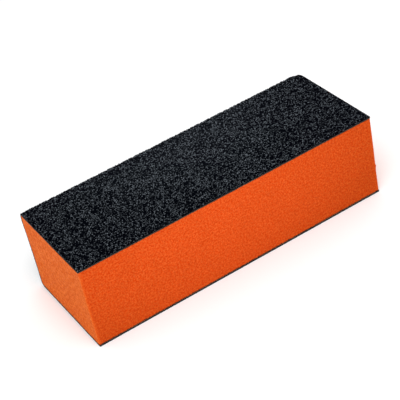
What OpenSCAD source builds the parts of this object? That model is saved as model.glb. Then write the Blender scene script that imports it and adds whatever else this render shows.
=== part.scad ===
// Three-sided sanding block: a foam core with one abrasive sheet wrapped over its top,
// back and bottom. The front face and both ends are bare foam.
// X runs along the length, the bare front face looks towards -Y, and the block lies on z = 0.

/* [Block] */
// Length of the block, end to end
block_l = 95; // [60:1:150]
// Depth of the block, from the bare front face to the grains on the back
block_w = 35.2; // [20:0.1:60]
// Height of the block, from the grains underneath to the grains on top
block_h = 26.4; // [12:0.1:50]

/* [Abrasive sheet] */
// Outer radius of the two bends where the sheet turns over the back edges
bend_r = 1; // [1:0.1:2.5]
// Thickness of the adhesive film between the foam and the sheet
film_t = 0.05; // [0.03:0.01:0.1]
// Thickness of the sheet's paper backing
backing_t = 0.2; // [0.1:0.01:0.3]
// Thickness of the resin bond that the grains are set in
bond_t = 0.05; // [0.03:0.01:0.1]
// Height of the layer of grains above the bond
grit_t = 0.3; // [0.1:0.01:0.4]

/* [Hidden] */
$fn = 64;

// How far each layer's outer surface lies below the working faces
bond_depth = grit_t;
backing_depth = bond_depth + bond_t;
film_depth = backing_depth + backing_t;
foam_depth = film_depth + film_t;

// The bare front face, and the line where the flat faces end and the bends begin
front_y = -block_w / 2;
bend_y = block_w / 2 - bend_r;

// How far a shape that cuts another one runs past its face
overcut = 1;

// Stretches a section, drawn with Y to the right and Z up, along the block's length.
module along_block() {
    translate([-block_l / 2, 0, 0])
        rotate([90, 0, 90])
            linear_extrude(block_l)
                children();
}

// Section of everything that lies deeper than `depth` below the three working faces.
module section(depth, from_y = front_y) {
    translate([from_y, depth])
        square([bend_y - from_y, block_h - 2 * depth]);
    translate([from_y, bend_r])
        square([block_w / 2 - depth - from_y, block_h - 2 * bend_r]);
    for (z = [bend_r, block_h - bend_r])
        translate([bend_y, z])
            circle(bend_r - depth);
}

// Section of one layer of the wrap, open towards the front.
module wrap_section(outer_depth, thickness) {
    difference() {
        section(outer_depth);
        section(outer_depth + thickness, front_y - overcut);
    }
}

// Flat coat of grains on the top or the bottom face, standing on height z.
module flat_coat(z) {
    translate([-block_l / 2, front_y, z])
        cube([block_l, bend_y - front_y, grit_t]);
}

module foam_core() {
    color("orangered")
        along_block()
            section(foam_depth);
}

module adhesive_film() {
    color("wheat")
        along_block()
            wrap_section(film_depth, film_t);
}

module backing_sheet() {
    color("dimgray")
        along_block()
            wrap_section(backing_depth, backing_t);
}

module resin_bond() {
    color("black")
        along_block()
            wrap_section(bond_depth, bond_t);
}

module abrasive_top() {
    color("darkslategray")
        flat_coat(block_h - grit_t);
}

// The back coat takes in both bends, and meets the top and bottom coats face to face.
module abrasive_back() {
    color("darkslategray")
        along_block()
            intersection() {
                wrap_section(0, grit_t);
                translate([bend_y, 0])
                    square([bend_r, block_h]);
            }
}

module abrasive_bottom() {
    color("darkslategray")
        flat_coat(0);
}

foam_core();
adhesive_film();
backing_sheet();
resin_bond();
abrasive_top();
abrasive_back();
abrasive_bottom();
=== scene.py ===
# Looks of a three-sided sanding block: a cut foam core with one sheet of coarse abrasive glued
# over its top, back and underside. Everything is in metres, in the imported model's own frame:
# +X along the block, the bare foam front towards -Y, +Z up.
import math

import bmesh
import bpy
import numpy as np
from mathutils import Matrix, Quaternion, Vector, geometry, noise


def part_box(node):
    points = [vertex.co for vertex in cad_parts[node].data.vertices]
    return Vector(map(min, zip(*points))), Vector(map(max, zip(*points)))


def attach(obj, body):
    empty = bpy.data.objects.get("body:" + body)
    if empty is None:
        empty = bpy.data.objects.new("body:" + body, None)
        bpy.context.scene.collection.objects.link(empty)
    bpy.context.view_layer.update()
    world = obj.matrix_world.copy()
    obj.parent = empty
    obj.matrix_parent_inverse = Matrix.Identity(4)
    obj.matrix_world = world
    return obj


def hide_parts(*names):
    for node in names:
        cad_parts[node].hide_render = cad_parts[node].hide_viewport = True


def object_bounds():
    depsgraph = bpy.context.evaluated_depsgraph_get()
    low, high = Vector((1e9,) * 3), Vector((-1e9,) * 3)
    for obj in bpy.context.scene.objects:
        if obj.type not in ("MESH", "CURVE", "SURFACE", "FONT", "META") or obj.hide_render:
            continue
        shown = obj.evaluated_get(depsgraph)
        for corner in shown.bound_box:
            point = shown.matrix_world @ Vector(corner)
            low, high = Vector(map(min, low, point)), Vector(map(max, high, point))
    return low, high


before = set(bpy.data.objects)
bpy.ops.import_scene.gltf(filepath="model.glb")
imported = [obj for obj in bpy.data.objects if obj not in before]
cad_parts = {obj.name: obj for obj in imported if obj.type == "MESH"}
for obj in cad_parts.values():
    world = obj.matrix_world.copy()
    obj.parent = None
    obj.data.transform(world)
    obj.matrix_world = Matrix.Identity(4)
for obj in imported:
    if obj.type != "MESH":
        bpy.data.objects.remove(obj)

MM = 0.001

# ---------------------------------------------------------------- sizes, read from the frame
CAD_LOW, CAD_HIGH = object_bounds()
FOAM_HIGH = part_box("foam_core")[1]
COAT_LOW, COAT_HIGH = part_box("abrasive_top")
HALF_LENGTH = CAD_HIGH.x
FRONT_Y = CAD_LOW.y
BACK_Y = CAD_HIGH.y
HEIGHT = CAD_HIGH.z
BEND_Y = COAT_HIGH.y
BEND_R = BACK_Y - BEND_Y

# How deep each layer's outer surface lies below the working faces
BOND_DEPTH = COAT_HIGH.z - COAT_LOW.z
BACKING_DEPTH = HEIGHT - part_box("backing_sheet")[1].z
FILM_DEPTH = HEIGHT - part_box("adhesive_film")[1].z
FOAM_DEPTH = HEIGHT - FOAM_HIGH.z

# The way round the wrap, from the top front edge over the back to the bottom front edge
FLAT = BEND_Y - FRONT_Y
TURN = BEND_R * math.pi / 2
PANEL = HEIGHT - 2 * BEND_R
TOP_END = FLAT
BACK_END = FLAT + 2 * TURN + PANEL
WAY_ROUND = BACK_END + FLAT

# ---------------------------------------------------------------- what the surfaces are like
SCATTER = 0.3  # the most that a scattered point lies off its even place, as a share of the spacing
RIM_CLEAR = 0.3  # how far inside the rim the corners between scattered points stay, as a share of it

GRAIN_PITCH = 0.52 * MM
GRAIN_REACH = (0.17, 0.36)  # a grain's half width, as shares of the pitch
GRAIN_TOP = (0.65, 1.0)  # how high a grain's middle stands, as shares of the coat
GRAIN_TILT = 0.55  # steepest slope of a grain's top
GRAIN_CORNERS = (3, 4, 5)
CORNER_ODDS = (0.3, 0.45, 0.25)
CORNER_TURN = 0.25  # how far a corner is turned off its even place, as a share of the turn between two
CORNER_REACH = (0.75, 1.15)  # how far out a corner lies, as shares of the grain's half width
CORNER_LOW = 0.15  # the lowest that a corner stands, as a share of the coat
GAP_SHARE = 0.28  # share of the places where no grain stuck
GAP_TOP = (0.0, 0.2)  # how high the coat stands there
RIM_TOP = (0.8, 1.0)  # how high the coat stands along its rim
RIM_TONE = 0.3  # how pale its grains are there, from 0 to 1
GRAIN_CLEAR = 0.06 * MM  # how far inside the rim the grains' corners stay

EDGE_STEP = 0.21 * MM  # spacing of the points along an edge
CUT_RAGGED = 0.05 * MM  # how uneven the cut edges of the grit, the bond and the glue are
PAPER_RAGGED = 0.03 * MM  # and those of the paper
RAGGED_OUT = 0.25  # share of the unevenness that reaches outwards
BEND_STEPS = 8  # rows of points between the start and the end of a bend, on a hidden surface
BEND_COLUMNS = 49  # points in such a row, its two ends included
BEND_CLEAR = 0.1 * MM  # how far inside the rim the rows stay

CELL_PITCH = 0.43 * MM
CELL_DEPTH = (0.008 * MM, 0.04 * MM)  # how far a cut cell is dished
PORE_SHARE = 0.03  # share of the foam's cells that are open pores
PORE_DEPTH = (0.08 * MM, 0.17 * MM)
FOAM_EDGE_R = 0.32 * MM
CELL_CLEAR = 0.5 * FOAM_EDGE_R  # how far inside a bare face's rim its cells stay
EDGE_PALE_REACH = 2.2 * FOAM_EDGE_R  # how far the paler edge of a bare face reaches: wear, and a painted highlight on its rounded edge
STAIN_ABOVE = 0.12 * MM  # how far the sheet's black dust stains the foam beside the top and the back
STAIN_BELOW = 0.27 * MM  # and beside the underside
WAVE_SIZE = 9 * MM
WAVE_HEIGHT = 0.07 * MM
RIPPLE_SIZE = 0.2 * WAVE_SIZE
RIPPLE_SHARE = 0.3  # how high the ripples are, as a share of the waves
NICK = Vector((HALF_LENGTH, FRONT_Y, 0.35 * HEIGHT))  # a crumb that the blade left on one edge
NICK_REACH = 0.55 * MM
NICK_HEIGHT = 0.22 * MM

TIP_REACH = 1.7 * MM  # how far the wear of a corner tip reaches
TIP_WEAR = np.array((0.55, 0.55, 0.25)) * MM
TIPS = ((1, HEIGHT, 1.0), (-1, HEIGHT, 0.3), (1, 0, 0.4), (-1, 0, 0.1))  # end, height and share of wear
PINCH = 0.15 * MM  # how far the left end's back edge is pressed in at mid-height
PINCH_REACH = 6 * MM

FOAM_SEED = 11
COAT_SEED = 21
END_SEED_STEP = 500  # keeps the seeds of the edges at the ends apart from those across the block
WELD = 0.001 * MM
TINY = 1e-9
LAYER_SMOOTH = math.radians(40)  # a layer's faces that meet at less than this are shaded as one
FOAM_SMOOTH = math.radians(50)

# Where each panel of a piece lies in its UV map: low u, low v, high u, high v
BAKE_UV = "OFBake"
FACE_TILE = (0.01, 0.12, 0.99, 0.99)
UNDER_TILE = (0.01, 0.06, 0.99, 0.1)
WALL_TILE = (0.01, 0.01, 0.99, 0.04)
FRONT_TILE = (0.01, 0.55, 0.99, 0.99)
LEFT_TILE = (0.01, 0.14, 0.49, 0.52)
RIGHT_TILE = (0.51, 0.14, 0.99, 0.52)
COVERED_TILE = (0.01, 0.01, 0.99, 0.1)


# ---------------------------------------------------------------- shape of the wrap
def wrap(flat, depth):
    """Where points of the unrolled sheet lie, that deep below the working faces.

    flat holds each point's X and its way round the wrap."""
    way = flat[:, 1]
    turned = np.clip(way - TOP_END, 0, TURN) + np.clip(way - BACK_END + TURN, 0, TURN)
    angle = turned / BEND_R
    down = np.clip(way - TOP_END - TURN, 0, PANEL)
    y = FRONT_Y + np.minimum(way, FLAT) - np.maximum(way - BACK_END, 0)
    z = HEIGHT - BEND_R - down
    reach = BEND_R - depth
    return np.stack([flat[:, 0], y + reach * np.sin(angle), z + reach * np.cos(angle)], axis=1)


def handled(places):
    """The points, moved as handling has left them: worn tips at the back, and one edge pressed in."""
    places = places.copy()
    for side, z, wear in TIPS:
        tip = np.array([side * HALF_LENGTH, BACK_Y, z])
        near = np.exp(-np.sum((places - tip) ** 2, axis=1) / TIP_REACH**2)
        inward = np.array([-side, -1, 1 if z == 0 else -1])
        places += wear * near[:, None] * inward * TIP_WEAR
    from_end = (places[:, 0] + HALF_LENGTH) / PINCH_REACH
    to_back = (places[:, 1] - FRONT_Y) / (BACK_Y - FRONT_Y)
    up = 2 * places[:, 2] / HEIGHT - 1
    places[:, 0] += PINCH * np.exp(-from_end) * to_back**2 * (1 - up**2)
    return places


# ---------------------------------------------------------------- meshes
def triangulate(outline, inside):
    """Triangles that fill an anticlockwise outline through the points inside it."""
    flat = np.concatenate([outline, inside])
    ring = [list(range(len(outline)))]
    points = [Vector(place) for place in flat]
    _, _, faces, sources, _, parents = geometry.delaunay_2d_cdt(points, [], ring, 0, TINY, True)
    source = np.array([ids[0] for ids in sources])
    in_outline = np.array([bool(ids) for ids in parents])
    return flat, source[np.array(faces)[in_outline]]


def scattered(rng, low, high, pitch):
    """Points at about that pitch, scattered over a rectangle, and the corners between them.

    Every second row is shifted by half a pitch."""
    row_gap = pitch * math.sqrt(3) / 2
    columns = round((high[0] - low[0]) / pitch)
    rows = round((high[1] - low[1]) / row_gap)
    column, row = np.meshgrid(np.arange(columns) + 0.5, np.arange(rows) + 0.5)
    shift = 0.5 * (np.arange(rows) % 2) - 0.25
    x = low[0] + (column + shift[:, None]) * (high[0] - low[0]) / columns
    y = low[1] + row * (high[1] - low[1]) / rows
    centres = np.stack([x.ravel(), y.ravel()], axis=1)
    centres += rng.uniform(-SCATTER, SCATTER, centres.shape) * pitch
    frame_corners = np.array([[low[0], low[1]], [high[0], low[1]], [high[0], high[1]], [low[0], high[1]]])
    flat, triangles = triangulate(frame_corners, centres)
    between = flat[triangles].mean(axis=1)
    clear = RIM_CLEAR * pitch
    kept = np.all((between > np.array(low) + clear) & (between < np.array(high) - clear), axis=1)
    kept &= np.all(triangles >= len(frame_corners), axis=1)
    return centres, between[kept]


class Skin:
    """Panels of triangles, welded along their rims into one closed mesh."""

    def __init__(self):
        self.places, self.triangles, self.uvs, self.values = [], [], [], []
        self.count = 0

    def add(self, places, triangles, flat, tile, **values):
        """Adds a panel. flat holds its points in two dimensions, which are laid over tile in the UV map."""
        low, high = flat.min(axis=0), flat.max(axis=0)
        tile = np.array(tile)
        self.uvs.append(tile[:2] + (flat - low) / (high - low) * (tile[2:] - tile[:2]))
        self.places.append(places)
        self.triangles.append(np.asarray(triangles) + self.count)
        self.values.append(values)
        self.count += len(places)

    def add_wall(self, one_rim, other_rim, tile, **values):
        """Adds a band of triangles between two rims that have the same number of points."""
        count = len(one_rim)
        here = np.arange(count)
        after = (here + 1) % count
        lower = np.stack([here, after, after + count], axis=1)
        upper = np.stack([here, after + count, here + count], axis=1)
        band = np.concatenate([lower, upper])
        flat = np.stack([np.tile(here, 2), np.repeat([0, 1], count)], axis=1).astype(float)
        self.add(np.concatenate([one_rim, other_rim]), band, flat, tile, **values)

    def piece(self, name, material, smooth_angle=0.0):
        """The welded mesh as an object, with a crease wherever its faces meet at more than smooth_angle."""
        places = handled(np.concatenate(self.places))
        triangles = np.concatenate(self.triangles)
        mesh = bpy.data.meshes.new(name)
        mesh.from_pydata(places.tolist(), [], triangles.tolist())
        uv_layer = mesh.uv_layers.new(name=BAKE_UV)
        uv_layer.data.foreach_set("uv", np.concatenate(self.uvs)[triangles.ravel()].ravel())
        for key in sorted({key for values in self.values for key in values}):
            parts = [np.broadcast_to(v.get(key, 0.0), len(p)) for v, p in zip(self.values, self.places)]
            layer = mesh.attributes.new(key, "FLOAT", "POINT")
            layer.data.foreach_set("value", np.concatenate(parts).astype(np.float32))
        welded = bmesh.new()
        welded.from_mesh(mesh)
        bmesh.ops.remove_doubles(welded, verts=welded.verts, dist=WELD)
        stray = [vert for vert in welded.verts if not vert.link_faces]
        bmesh.ops.delete(welded, geom=stray, context="VERTS")
        bmesh.ops.recalc_face_normals(welded, faces=welded.faces)
        for face in welded.faces:
            face.smooth = smooth_angle > 0
        welded.to_mesh(mesh)
        welded.free()
        if smooth_angle > 0:
            mesh.set_sharp_from_angle(angle=smooth_angle)
        mesh.materials.append(material)
        made = bpy.data.objects.new(name, mesh)
        bpy.context.scene.collection.objects.link(made)
        return made


def edge(seed, start, end, out, ragged):
    """Points of one edge of the sheet, corner to corner, and how high the grains stand there.

    out points away from the sheet, and ragged says how uneven the edge is."""
    rng = np.random.default_rng(seed)
    start, end, out = (np.array(v, float) for v in (start, end, out))
    steps = max(2, round(np.linalg.norm(end - start) / EDGE_STEP))
    share = np.arange(steps + 1) / steps
    share[1:-1] += rng.uniform(-SCATTER, SCATTER, steps - 1) / steps
    points = start + share[:, None] * (end - start)
    points[1:-1] += rng.uniform(-ragged, RAGGED_OUT * ragged, steps - 1)[:, None] * out
    rise = rng.uniform(*RIM_TOP, steps + 1)
    rise[[0, -1]] = RIM_TOP[0]
    return points, rise


def rim(low_way, high_way, ragged):
    """The outline of a stretch of the sheet, and how high the grains stand along it.

    The two edges across the block are free where they are the sheet's own ends, and otherwise
    shared with the next stretch, so each edge's seed comes from its place."""
    sides = []
    for way in (low_way, high_way):
        free = ragged if way in (0, WAY_ROUND) else 0
        out = -1 if way == 0 else 1
        sides.append(edge(round(way / MM), (-HALF_LENGTH, way), (HALF_LENGTH, way), (0, out), free))
    for end in (-1, 1):
        seed = round(low_way / MM) + END_SEED_STEP * (2 + end)
        x = end * HALF_LENGTH
        sides.append(edge(seed, (x, low_way), (x, high_way), (end, 0), ragged))
    low, high, left, right = sides
    order = [(low, 1), (right, 1), (high, -1), (left, -1)]
    points = np.concatenate([side[0][::step][:-1] for side, step in order])
    rise = np.concatenate([side[1][::step][:-1] for side, step in order])
    return points, rise


def bend_rows(low_way, high_way):
    """Rows of points that carry a hidden surface round the bends."""
    starts = (TOP_END, BACK_END - TURN)
    ways = [start + TURN * k / BEND_STEPS for start in starts for k in range(BEND_STEPS + 1)]
    ways = [way for way in ways if low_way + BEND_CLEAR < way < high_way - BEND_CLEAR]
    across = np.linspace(-HALF_LENGTH, HALF_LENGTH, BEND_COLUMNS)[1:-1]
    return np.array([(x, way) for way in ways for x in across]).reshape(-1, 2)


def layer_piece(name, outer_depth, inner_depth, ragged, material):
    """One thin layer of the sheet, all the way round the wrap."""
    outline, _ = rim(0, WAY_ROUND, ragged)
    flat, triangles = triangulate(outline, bend_rows(0, WAY_ROUND))
    skin = Skin()
    rims = []
    for depth, tile in ((outer_depth, FACE_TILE), (inner_depth, UNDER_TILE)):
        places = wrap(flat, depth)
        skin.add(places, triangles, flat, tile)
        rims.append(places[: len(outline)])
    skin.add_wall(*rims, WALL_TILE)
    return skin.piece(name, material, LAYER_SMOOTH)


# ---------------------------------------------------------------- the coat of grains
def grain_field(rng, low_way, high_way):
    """Corner points of the grains on a stretch of the sheet, with each one's height and tone."""
    low, high = (-HALF_LENGTH, low_way), (HALF_LENGTH, high_way)
    centres, gaps = scattered(rng, low, high, GRAIN_PITCH)
    missing = rng.random(len(centres)) < GAP_SHARE
    points = [gaps, centres[missing]]
    rises = [rng.uniform(*GAP_TOP, len(gaps)), rng.uniform(*GAP_TOP, missing.sum())]
    tones = [np.zeros(len(gaps)), np.zeros(missing.sum())]
    grains = centres[~missing]
    corners = rng.choice(GRAIN_CORNERS, len(grains), p=CORNER_ODDS)
    reach = rng.uniform(*GRAIN_REACH, len(grains)) * GRAIN_PITCH
    middle = rng.uniform(*GRAIN_TOP, len(grains))
    tilt = rng.uniform(0, GRAIN_TILT, len(grains))
    downhill = rng.uniform(0, 2 * math.pi, len(grains))
    start = rng.uniform(0, 2 * math.pi, len(grains))
    tone = rng.random(len(grains))
    for k in range(max(GRAIN_CORNERS)):
        has = corners > k
        angle = start + 2 * math.pi * (k + rng.uniform(-CORNER_TURN, CORNER_TURN, len(grains))) / corners
        out = reach * rng.uniform(*CORNER_REACH, len(grains))
        points.append((grains + out[:, None] * np.stack([np.cos(angle), np.sin(angle)], axis=1))[has])
        slope = tilt * out * np.cos(angle - downhill) / BOND_DEPTH
        rises.append(np.clip(middle - slope, CORNER_LOW, 1)[has])
        tones.append(tone[has])
    points, rises, tones = (np.concatenate(v) for v in (points, rises, tones))
    kept = np.all((points > np.array(low) + GRAIN_CLEAR) & (points < np.array(high) - GRAIN_CLEAR), axis=1)
    return points[kept], rises[kept], tones[kept]


def coat_piece(name, seed, low_way, high_way, material):
    """The coat of grains on one working face: grains on top, and flat where it meets the bond."""
    rng = np.random.default_rng(seed)
    outline, rim_rise = rim(low_way, high_way, CUT_RAGGED)
    grains, rise, tone = grain_field(rng, low_way, high_way)
    rise = np.concatenate([rim_rise, rise])
    tone = np.concatenate([np.full(len(outline), RIM_TONE), tone])
    flat, triangles = triangulate(outline, grains)
    places = wrap(flat, BOND_DEPTH * (1 - rise))
    skin = Skin()
    skin.add(places, triangles, flat, FACE_TILE, rise=rise, tone=tone)
    under_flat, under_triangles = triangulate(outline, bend_rows(low_way, high_way))
    under = wrap(under_flat, BOND_DEPTH)
    skin.add(under, under_triangles, under_flat, UNDER_TILE)
    rims = places[: len(outline)], under[: len(outline)]
    skin.add_wall(*rims, WALL_TILE, tone=RIM_TONE)
    return skin.piece(name, material)


# ---------------------------------------------------------------- the foam
def rounded_edges(places):
    """The points, with the upright edges between bare foam faces rounded off."""
    core = places.copy()
    limit = HALF_LENGTH - FOAM_EDGE_R
    core[:, 0] = np.clip(places[:, 0], -limit, limit)
    core[:, 1] = np.maximum(places[:, 1], FRONT_Y + FOAM_EDGE_R)
    away = places - core
    length = np.linalg.norm(away[:, :2], axis=1)
    at_edge = (np.abs(away[:, 0]) > TINY) & (away[:, 1] < -TINY)
    scale = np.where(at_edge, FOAM_EDGE_R / np.maximum(length, TINY), 1)
    return core + away * scale[:, None]


def uneven(places):
    """The points, moved a little in X and Y as a blade's wandering cut leaves them.

    The movement in Y fades out by half way to the back, where the sheet keeps the foam straight."""
    moved = places.copy()
    for index, place in enumerate(places):
        wave = noise.noise_vector(Vector(place) / WAVE_SIZE)
        ripple = noise.noise_vector(Vector(place) / RIPPLE_SIZE)
        to_back = (place[1] - FRONT_Y) / (BACK_Y - FRONT_Y)
        moved[index, 0] += WAVE_HEIGHT * (wave.x + RIPPLE_SHARE * ripple.x)
        moved[index, 1] += WAVE_HEIGHT * (wave.y + RIPPLE_SHARE * ripple.y) * max(0.0, 1 - 2 * to_back)
    to_nick = np.sum((places - np.array(NICK)) ** 2, axis=1)
    moved[:, 0] += NICK_HEIGHT * np.exp(-to_nick / NICK_REACH**2)
    return moved


def foam_panel(skin, rng, outline, low, high, lay, tile, end_cut):
    """Adds one bare face of the foam. lay puts flat points, and their depth, in space.

    The sheet covers the foam beyond low[1] and high[1], and on an end also beyond high[0]."""
    cells, walls = scattered(rng, low, high, CELL_PITCH)
    clear = np.all((cells > np.array(low) + CELL_CLEAR) & (cells < np.array(high) - CELL_CLEAR), axis=1)
    cells = cells[clear]
    is_pore = rng.random(len(cells)) < PORE_SHARE
    depth = np.where(is_pore, rng.uniform(*PORE_DEPTH, len(cells)), rng.uniform(*CELL_DEPTH, len(cells)))
    depth = np.concatenate([np.zeros(len(outline)), depth, np.zeros(len(walls))])
    flat, triangles = triangulate(outline, np.concatenate([cells, walls]))
    places = uneven(rounded_edges(lay(flat, depth)))
    from_left = flat[:, 0] - low[0]
    from_right = high[0] - flat[:, 0]
    to_bare_edge = [from_left]
    to_sheet = [(flat[:, 1] - low[1]) / STAIN_BELOW, (high[1] - flat[:, 1]) / STAIN_ABOVE]
    if end_cut:
        to_sheet.append(from_right / STAIN_ABOVE)
    else:
        to_bare_edge.append(from_right)
    values = {
        "pit": depth / PORE_DEPTH[1],
        "end_cut": float(end_cut),
        "edge_wear": np.clip(1 - np.minimum.reduce(to_bare_edge) / EDGE_PALE_REACH, 0, 1),
        "from_sheet": np.minimum.reduce(to_sheet),
    }
    skin.add(places, triangles, flat, tile, **values)


def subdivided(corners):
    """The closed outline through those corners, in steps short enough for a rim."""
    points = []
    for start, end in zip(corners, np.roll(corners, -1, axis=0)):
        steps = max(1, round(np.linalg.norm(end - start) / EDGE_STEP))
        points.append(start + np.arange(steps)[:, None] / steps * (end - start))
    return np.concatenate(points)


def foam_piece(material):
    """The foam core: three bare cut faces, and a plain face all round under the sheet."""
    rng = np.random.default_rng(FOAM_SEED)
    noise.seed_set(FOAM_SEED)  # Blender's noise vectors start from the clock otherwise
    skin = Skin()
    left, right = -HALF_LENGTH, HALF_LENGTH
    bottom, top = FOAM_DEPTH, HEIGHT - FOAM_DEPTH
    front = subdivided(np.array([(left, bottom), (right, bottom), (right, top), (left, top)]))

    def lay_front(flat, depth):
        return np.stack([flat[:, 0], FRONT_Y + depth, flat[:, 1]], axis=1)

    foam_panel(skin, rng, front, (left, bottom), (right, top), lay_front, FRONT_TILE, False)

    steps = round(WAY_ROUND / EDGE_STEP)
    ways = np.linspace(0, WAY_ROUND, steps + 1)
    profile = wrap(np.stack([np.zeros(steps + 1), ways], axis=1), FOAM_DEPTH)[:, 1:]
    front_side = np.linspace(profile[-1], profile[0], round((top - bottom) / EDGE_STEP) + 1)[1:-1]
    end_outline = np.concatenate([profile, front_side])[::-1]
    for side, tile in ((-1, LEFT_TILE), (1, RIGHT_TILE)):
        def lay_end(flat, depth, side=side):
            return np.stack([side * (HALF_LENGTH - depth), flat[:, 0], flat[:, 1]], axis=1)

        foam_panel(skin, rng, end_outline, profile[-1], (FOAM_HIGH.y, top), lay_end, tile, True)

    across = front[:, 0][: round(2 * HALF_LENGTH / EDGE_STEP) + 1]
    near_rim = np.stack([across, np.zeros(len(across))], axis=1)
    far_rim = np.stack([across, np.full(len(across), WAY_ROUND)], axis=1)
    right_rim = np.stack([np.full(len(ways), HALF_LENGTH), ways], axis=1)
    left_rim = right_rim * (-1, 1)
    outline = np.concatenate([near_rim[:-1], right_rim[:-1], far_rim[::-1][:-1], left_rim[::-1][:-1]])
    flat, triangles = triangulate(outline, bend_rows(0, WAY_ROUND))
    skin.add(uneven(rounded_edges(wrap(flat, FOAM_DEPTH))), triangles, flat, COVERED_TILE)
    return skin.piece("foam_block", material, FOAM_SMOOTH)


# ---------------------------------------------------------------- materials
def srgb(red, green, blue):
    """A colour given as on a screen, 0 to 255, as Blender's linear one."""
    shares = [c / 255 for c in (red, green, blue)]
    linear = [c / 12.92 if c <= 0.04045 else ((c + 0.055) / 1.055) ** 2.4 for c in shares]
    return (*linear, 1.0)


class Graph:
    """A new material, and short ways to add nodes to it."""

    def __init__(self, name, **constants):
        self.material = bpy.data.materials.new(name)
        self.material.use_nodes = True
        self.tree = self.material.node_tree
        self.shader = self.tree.nodes["Principled BSDF"]
        for key, value in constants.items():
            self.shader.inputs[key.replace("_", " ").title().replace("Ior", "IOR")].default_value = value
        self.place = self.add("ShaderNodeTexCoord").outputs["Object"]

    def add(self, kind, inputs=(), **settings):
        """A new node. inputs holds (socket, value or link) pairs."""
        node = self.tree.nodes.new(kind)
        for key, value in settings.items():
            setattr(node, key, value)
        for key, value in inputs:
            self.put(node.inputs[key], value)
        return node

    def put(self, socket, value):
        """Links value to the socket, or sets it where value is a constant."""
        if isinstance(value, bpy.types.NodeSocket):
            self.tree.links.new(value, socket)
        else:
            socket.default_value = value

    def shade(self, key, value):
        self.put(self.shader.inputs[key], value)

    def attribute(self, name):
        return self.add("ShaderNodeAttribute", attribute_name=name).outputs["Fac"]

    def noise(self, size, detail=3.0, stretch=(1, 1, 1)):
        """Smooth noise from 0 to 1, with features of about that size in metres."""
        scaled = self.add("ShaderNodeMapping", [("Vector", self.place), ("Scale", stretch)])
        inputs = [("Vector", scaled.outputs[0]), ("Scale", 1 / size), ("Detail", detail)]
        return self.add("ShaderNodeTexNoise", inputs).outputs["Fac"]

    def distance(self, centre, stretch):
        """How far each point is from centre, with each axis counted stretch times over."""
        scaled = self.add("ShaderNodeMapping", [("Vector", self.place), ("Scale", stretch)])
        middle = tuple(c * times for c, times in zip(centre, stretch))
        inputs = [(0, scaled.outputs[0]), (1, middle)]
        return self.add("ShaderNodeVectorMath", inputs, operation="DISTANCE").outputs["Value"]

    def cells(self, size):
        """Distance from the nearest of scattered points about that far apart."""
        inputs = [("Vector", self.place), ("Scale", 1 / size)]
        return self.add("ShaderNodeTexVoronoi", inputs).outputs["Distance"]

    def span(self, value, low, high, to_low=0.0, to_high=1.0):
        """value, with low to high stretched over to_low to to_high."""
        inputs = [("Value", value), ("From Min", low), ("From Max", high)]
        inputs += [("To Min", to_low), ("To Max", to_high)]
        return self.add("ShaderNodeMapRange", inputs).outputs["Result"]

    def maths(self, operation, one, other):
        return self.add("ShaderNodeMath", [(0, one), (1, other)], operation=operation).outputs[0]

    def mix(self, share, one, other, blend_type="MIX"):
        node = self.add("ShaderNodeMix", [("Factor", share)], data_type="RGBA", blend_type=blend_type)
        self.put(node.inputs[6], one)
        self.put(node.inputs[7], other)
        return node.outputs[2]

    def bump(self, height, distance, strength, onto=None):
        inputs = [("Height", height), ("Distance", distance), ("Strength", strength)]
        if onto is not None:
            inputs.append(("Normal", onto))
        return self.add("ShaderNodeBump", inputs).outputs[0]


CELL_SHADE = (0.72, 0.58, 0.4, 1.0)  # painted shade: how much darker the middle of a cut cell is than its walls
PAINTED_LIGHT_PLACE = (-6 * MM, FRONT_Y, HEIGHT)  # painted light: the front's colour is brightest here, and deepens away from it as painted shade
PAINTED_SHADE_REACH = 64 * MM  # how far from there the front's painted shade is deepest
FRONT_PAINTED_SHADE = (0.735, 0.73, 0.42, 1.0)  # what is left of the front's colour there, under the painted shade
END_PAINTED_SHADE = (0.93, 0.88, 0.65, 1.0)  # and what is left of the ends' colour at the underside, under the painted shade


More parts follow.
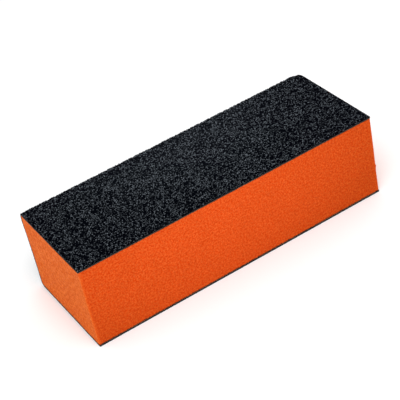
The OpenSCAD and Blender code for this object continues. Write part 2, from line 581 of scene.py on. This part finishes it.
def foam_material():
    """Bright orange closed-cell foam, paler on its ends, with painted shade and a painted highlight in its
    colour.
    """
    g = Graph("orange_foam", specular_ior_level=0.06)
    mottle = g.noise(0.55 * MM, detail=5.0)
    coarse = g.noise(0.7 * MM, detail=5.0)
    broad = g.noise(8 * MM, detail=2.0)
    speck = g.noise(0.35 * MM)
    cell = g.cells(0.32 * MM)
    face = g.mix(g.span(mottle, 0.38, 0.62), srgb(210, 64, 2), srgb(228, 95, 37))
    # the ends are paler than the front
    end_colour = g.mix(g.span(coarse, 0.36, 0.64), srgb(214, 85, 0), srgb(240, 127, 60))
    # painted shade: the front darkens away from its lit top, towards the ends and the underside
    away = g.span(g.distance(PAINTED_LIGHT_PLACE, (1, 0, 1.9)), 0, PAINTED_SHADE_REACH)
    face = g.mix(g.maths("POWER", away, 2.0), face, FRONT_PAINTED_SHADE, "MULTIPLY")
    # painted shade: the ends darken towards the underside
    below = g.span(g.distance((0, 0, HEIGHT), (0, 0, 1)), 0, HEIGHT)
    end_colour = g.mix(below, end_colour, END_PAINTED_SHADE, "MULTIPLY")
    colour = g.mix(g.attribute("end_cut"), face, end_colour)
    colour = g.mix(g.span(broad, 0.35, 0.65, 0.0, 0.12), colour, srgb(190, 66, 8))
    # painted shade in the hollow middle of each cut cell
    colour = g.mix(g.span(cell, 0.1, 0.55, 0.8, 0.0), colour, CELL_SHADE, "MULTIPLY")
    # paler along the bare upright edges: wear, and a painted highlight on the rounded edge
    colour = g.mix(g.maths("MULTIPLY", g.attribute("edge_wear"), 0.45), colour, srgb(228, 96, 30))
    # painted shade: the open pores are darker
    colour = g.mix(g.span(g.attribute("pit"), 0.3, 1.0, 0.0, 0.6), colour, srgb(150, 42, 6))
    frayed = g.maths("ADD", g.attribute("from_sheet"), g.span(g.noise(0.5 * MM), 0.3, 0.7, -0.5, 0.5))
    colour = g.mix(g.span(frayed, 0.5, 1.0, 1.0, 0.0), colour, srgb(48, 26, 14))
    g.shade("Base Color", colour)
    g.shade("Roughness", g.span(speck, 0.3, 0.7, 0.72, 0.92))
    dished = g.bump(cell, 0.12 * MM, 0.8)
    g.shade("Normal", g.bump(speck, 0.05 * MM, 0.6, dished))
    return g.material


SHEEN_PLACE = (2 * MM, BACK_Y, HEIGHT)  # a painted sheen lies here: the grit's colour is paler here, with less black between the grains, and darker away from it


def grit_material():
    """Black silicon carbide grains under a thin resin skin, with black gaps between them that also carry
    painted shade, and a painted sheen near the top's back edge.
    """
    g = Graph("black_grit", specular_ior_level=0.01)
    tone = g.attribute("tone")
    broad = g.noise(16 * MM, detail=2.0)
    flake = g.noise(0.12 * MM)
    grain = g.mix(tone, srgb(1, 2, 6), srgb(112, 119, 126))
    grain = g.mix(g.span(flake, 0.35, 0.65, 0.0, 0.3), grain, srgb(36, 40, 46))
    away = g.distance(SHEEN_PLACE, (1, 1.3, 1))
    # painted sheen and shade: more grain colour near that place, more black between the grains away from it
    rise_and_sheen = g.maths("ADD", g.attribute("rise"), g.span(away, 5 * MM, 50 * MM, 0.04, -0.13))
    # black in the low places: the resin between the grains, and painted shade in the gaps
    colour = g.mix(g.span(rise_and_sheen, 0.4, 0.75), srgb(0, 1, 6), grain)
    colour = g.mix(g.span(broad, 0.3, 0.7, 0.0, 0.15), colour, srgb(10, 11, 14))
    # painted sheen: a pale haze near that place
    colour = g.mix(g.span(away, 5 * MM, 40 * MM, 0.1, 0.0), colour, srgb(48, 54, 60))
    g.shade("Base Color", colour)
    worn = g.span(tone, 0.0, 1.0, 0.62, 0.36)
    g.shade("Roughness", g.maths("ADD", worn, g.span(flake, 0.3, 0.7, -0.08, 0.08)))
    g.shade("Normal", g.bump(flake, 0.03 * MM, 0.5))
    return g.material


def layered_material(name, low, high, size, stretch, roughness):
    """A thin layer's material: two tones in streaks or clouds, with a matching bump."""
    g = Graph(name)
    clouds = g.noise(size, stretch=stretch)
    g.shade("Base Color", g.mix(g.span(clouds, 0.3, 0.7), low, high))
    g.shade("Roughness", g.span(clouds, 0.3, 0.7, *roughness))
    g.shade("Normal", g.bump(clouds, 0.02 * MM, 0.5))
    return g.material


# ---------------------------------------------------------------- the object
def make_layers():
    """The three thin layers of the sheet, each with its CAD node and the record's slot."""
    streaks, clouds = (1, 1, 5), (1, 1, 1)
    dull, satin = (0.75, 0.9), (0.3, 0.5)
    paper = layered_material("backing_paper", srgb(9, 9, 11), srgb(21, 20, 20), 0.2 * MM, streaks, dull)
    resin = layered_material("resin", srgb(8, 8, 10), srgb(20, 21, 24), 0.15 * MM, clouds, satin)
    glue = layered_material("adhesive", srgb(150, 84, 40), srgb(196, 122, 66), 0.4 * MM, clouds, satin)
    glue_film = layer_piece("glue_film", FILM_DEPTH, FOAM_DEPTH, CUT_RAGGED, glue)
    backing = layer_piece("paper_backing", BACKING_DEPTH, FILM_DEPTH, PAPER_RAGGED, paper)
    bond = layer_piece("bond_coat", BOND_DEPTH, BACKING_DEPTH, CUT_RAGGED, resin)
    return [
        (glue_film, "adhesive_film", "adhesive"),
        (backing, "backing_sheet", "backing_paper"),
        (bond, "resin_bond", "resin"),
    ]


def make_coats():
    """The coat of grains on each working face, with its CAD node and the record's slot."""
    grit = grit_material()
    faces = (("top", 0, TOP_END), ("back", TOP_END, BACK_END), ("bottom", BACK_END, WAY_ROUND))
    coats = []
    for index, (face, low_way, high_way) in enumerate(faces):
        coat = coat_piece(f"grit_{face}", COAT_SEED + index, low_way, high_way, grit)
        coats.append((coat, f"abrasive_{face}", "black_grit"))
    return coats


def build_block():
    """Makes every piece of the block, each in place of its CAD node."""
    foam = foam_piece(foam_material())
    layers = make_layers()
    for piece, node, slot in [(foam, "foam_core", "orange_foam"), *layers, *make_coats()]:
        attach(piece, "root")
        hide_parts(node)


# ---------------------------------------------------------------- the studio
MIDDLE = (CAD_LOW + CAD_HIGH) / 2
BLOCK_LENGTH = 2 * HALF_LENGTH
CAMERA_LENS = 118.3
CAMERA_FROM = (-24.91, 35.82)  # azimuth and elevation, in degrees
CAMERA_ROLL = -12.7
CAMERA_AIM = MIDDLE + Vector((-0.815, 0.756, 0.601)) * MM
CAMERA_DISTANCE = 3.919 * BLOCK_LENGTH
CLIP_START = 10 * MM
FLOOR_HALF = 20 * BLOCK_LENGTH
WORLD_STRENGTH = 0.85


def direction(azimuth, elevation):
    """The way from the block towards a viewer or a light. Azimuth 0 is in front, and 90 at +X."""
    a, e = math.radians(azimuth), math.radians(elevation)
    return Vector((math.sin(a) * math.cos(e), -math.cos(a) * math.cos(e), math.sin(e)))


def place_camera():
    """The camera, looking down on the front and the left end, and tilted so that the block runs uphill."""
    data = bpy.data.cameras.new("camera")
    data.lens = CAMERA_LENS
    camera = bpy.data.objects.new("camera", data)
    bpy.context.scene.collection.objects.link(camera)
    back = direction(*CAMERA_FROM)
    camera.location = CAMERA_AIM + back * CAMERA_DISTANCE
    camera.rotation_mode = "QUATERNION"
    roll = Quaternion((0, 0, 1), math.radians(CAMERA_ROLL))
    camera.rotation_quaternion = (-back).to_track_quat("-Z", "Y") @ roll
    data.clip_start = CLIP_START
    bpy.context.scene.camera = camera


def place_softbox(name, azimuth, elevation, distance, size, power):
    """A square area light that faces the block, in degrees, metres and watts."""
    data = bpy.data.lights.new(name, "AREA")
    data.size = size
    data.energy = power
    light = bpy.data.objects.new(name, data)
    bpy.context.scene.collection.objects.link(light)
    towards = direction(azimuth, elevation)
    light.location = MIDDLE + towards * distance
    light.rotation_mode = "QUATERNION"
    light.rotation_quaternion = (-towards).to_track_quat("-Z", "Y")


def place_floor():
    """A wide, pale floor."""
    turns = ((-1, -1), (1, -1), (1, 1), (-1, 1))
    corners = [(x * FLOOR_HALF, y * FLOOR_HALF, 0) for x, y in turns]
    mesh = bpy.data.meshes.new("floor")
    mesh.from_pydata(corners, [], [(0, 1, 2, 3)])
    g = Graph("floor", specular_ior_level=0.1, roughness=0.9)
    g.shade("Base Color", g.mix(g.noise(60 * MM), srgb(250, 250, 250), srgb(253, 253, 253)))
    mesh.materials.append(g.material)
    floor = bpy.data.objects.new("floor", mesh)
    bpy.context.scene.collection.objects.link(floor)


def place_studio():
    place_camera()
    place_floor()
    place_softbox("key_light", azimuth=-25, elevation=55, distance=0.8, size=0.6, power=2.2)
    place_softbox("near_light", azimuth=-20, elevation=60, distance=0.25, size=0.12, power=0.13)
    world = bpy.data.worlds.new("studio")
    world.use_nodes = True
    background = world.node_tree.nodes["Background"]
    background.inputs["Color"].default_value = (1, 1, 1, 1)
    background.inputs["Strength"].default_value = WORLD_STRENGTH
    bpy.context.scene.world = world
    bpy.context.scene.view_settings.view_transform = "Standard"


place_studio()
build_block()
